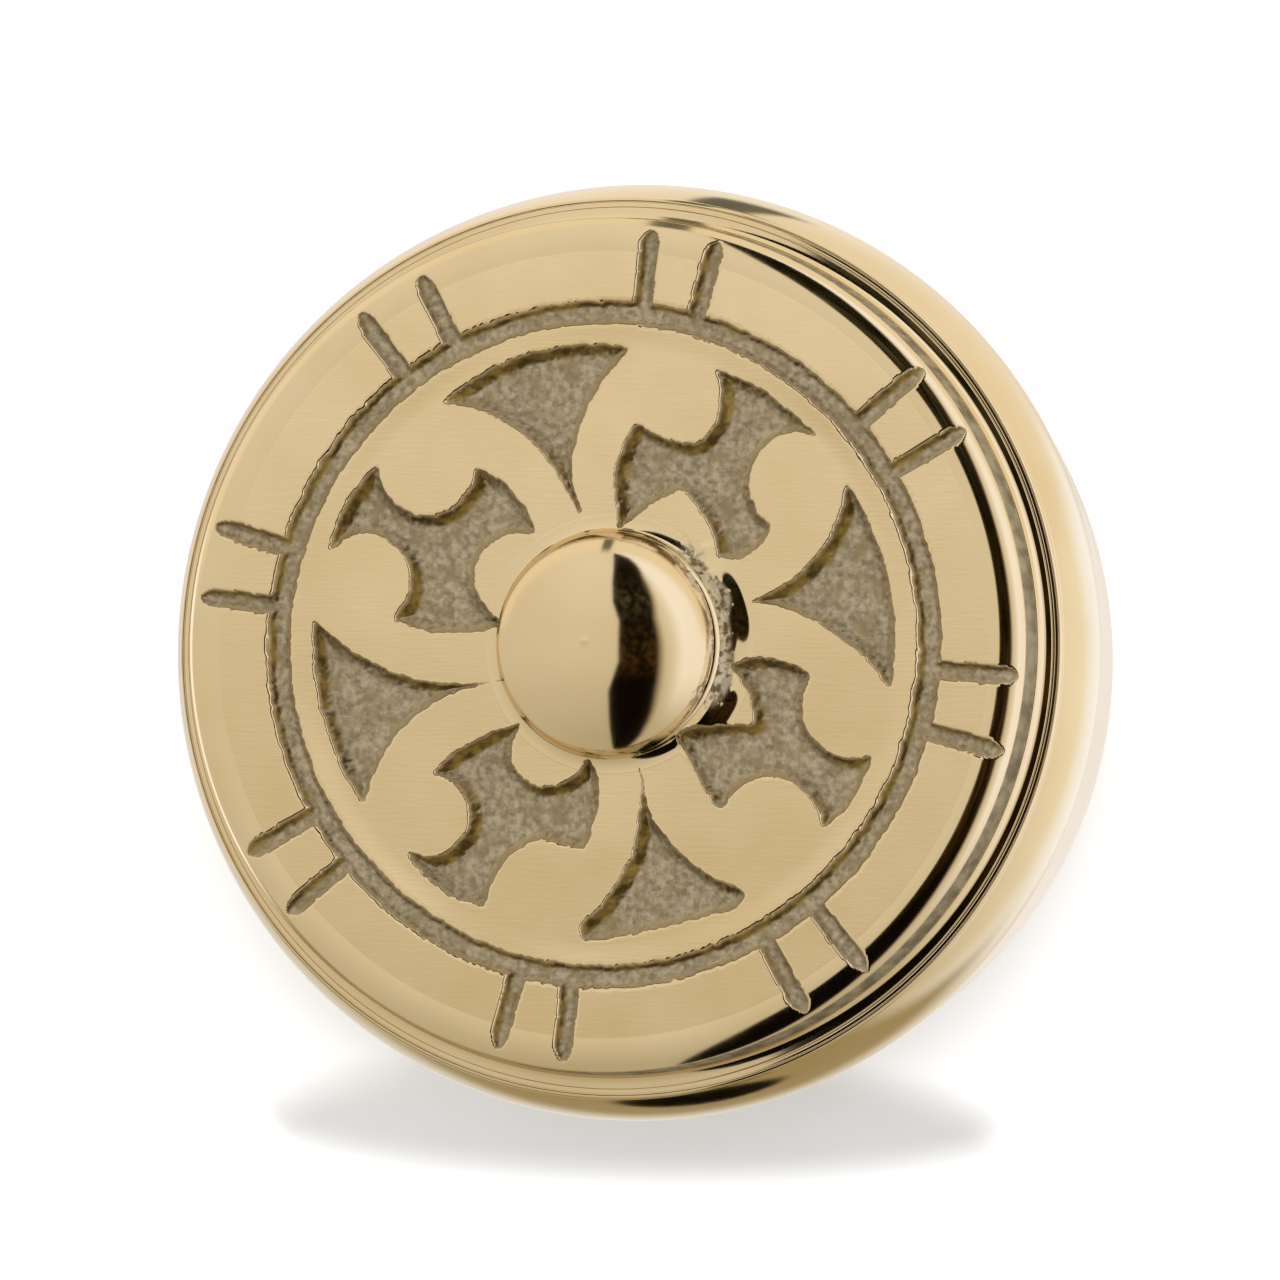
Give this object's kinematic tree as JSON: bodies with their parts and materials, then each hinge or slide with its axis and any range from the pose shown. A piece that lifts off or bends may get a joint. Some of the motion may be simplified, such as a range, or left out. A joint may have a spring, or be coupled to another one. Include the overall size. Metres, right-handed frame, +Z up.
{
  "type": "medallion token",
  "caption": "Thick round brass medallion token with a relief face, domed centre, grooved ring and tapered side.",
  "frame": {"origin": "centre of the plain back, on the surface that the token lies on", "axes": "+Z up along the token's axis, from the back to the ornamented face; +Y to the top of the face and +X to its right, seen from above"},
  "size_m": [0.04, 0.04, 0.0223],
  "materials": {
    "turned_brass": "polished, with fine turning lines in the cove and on the back",
    "relief_brass": "mirror-polished lands with rough as-cast recess floors",
    "stud_brass": "hand-polished dome, faced tail"
  },
  "bodies": {
    "root": {"turned_body": "turned_brass", "relief_disc": "relief_brass", "domed_stud": "stud_brass"}
  },
  "joints": []
}
